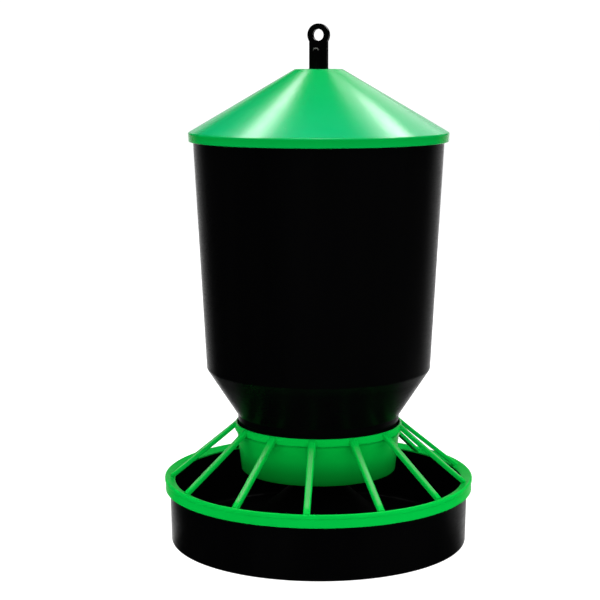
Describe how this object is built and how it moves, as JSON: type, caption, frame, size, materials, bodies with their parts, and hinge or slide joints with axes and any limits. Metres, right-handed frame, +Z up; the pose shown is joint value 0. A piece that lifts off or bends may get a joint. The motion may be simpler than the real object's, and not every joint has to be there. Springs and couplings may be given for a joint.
{
  "type": "poultry feeder",
  "caption": "Hanging hopper feeder for poultry with a round trough, a spoked anti-waste grill, a tapered bin, a conical lid and a keyed hanger ending in an eye.",
  "frame": {"origin": "centre of the pan's underside, on the surface that the feeder stands on", "axes": "+Z up along the hanger, X along the width of the hanger's flat web, -Y towards the front, which one of the spoke gaps faces"},
  "size_m": [0.4, 0.4, 0.6638],
  "materials": {
    "black_plastic": "satin moulded polypropylene",
    "green_plastic": "semi-gloss moulded polypropylene",
    "steel_wire": "drawn galvanised wire"
  },
  "bodies": {
    "tray": {"pan": "black_plastic", "feed_cone": "black_plastic"},
    "cage": {"grill_ring": "green_plastic", "grill_collar": "green_plastic", "grill_spoke_01": "green_plastic", "grill_spoke_02": "green_plastic", "grill_spoke_03": "green_plastic", "grill_spoke_04": "green_plastic", "grill_spoke_05": "green_plastic", "grill_spoke_06": "green_plastic", "grill_spoke_07": "green_plastic", "grill_spoke_08": "green_plastic", "grill_spoke_09": "green_plastic", "grill_spoke_10": "green_plastic", "grill_spoke_11": "green_plastic", "grill_spoke_12": "green_plastic", "grill_spoke_13": "green_plastic"},
    "hanger": {"lower_stem": "black_plastic", "hanger_strap": "black_plastic", "splice_pin": "steel_wire"},
    "pin": {"height_pin": "steel_wire"},
    "bin": {"hopper": "black_plastic", "neck_spider": "black_plastic"},
    "cover": {"lid": "green_plastic"}
  },
  "joints": [
    {"name": "hanger_turn", "type": "hinge", "parent": "tray", "child": "hanger", "pos_m": [0, 0, 0.0226], "axis": [0, 0, 1], "range_deg": [0, 90]},
    {"name": "grill_turn", "type": "hinge", "parent": "tray", "child": "cage", "pos_m": [0, 0, 0.0826], "axis": [0, 0, 1], "range_deg": [0, 15]},
    {"name": "hopper_height", "type": "slide", "parent": "hanger", "child": "bin", "axis": [0, 0, 1], "range_m": [0, 0.03]},
    {"name": "lid_lift", "type": "slide", "parent": "bin", "child": "cover", "axis": [0, 0, 1], "range_m": [0, 0.16]},
    {"name": "height_pin_pull", "type": "slide", "parent": "hanger", "child": "pin", "axis": [0, -1, 0], "range_m": [0, 0.045]}
  ]
}
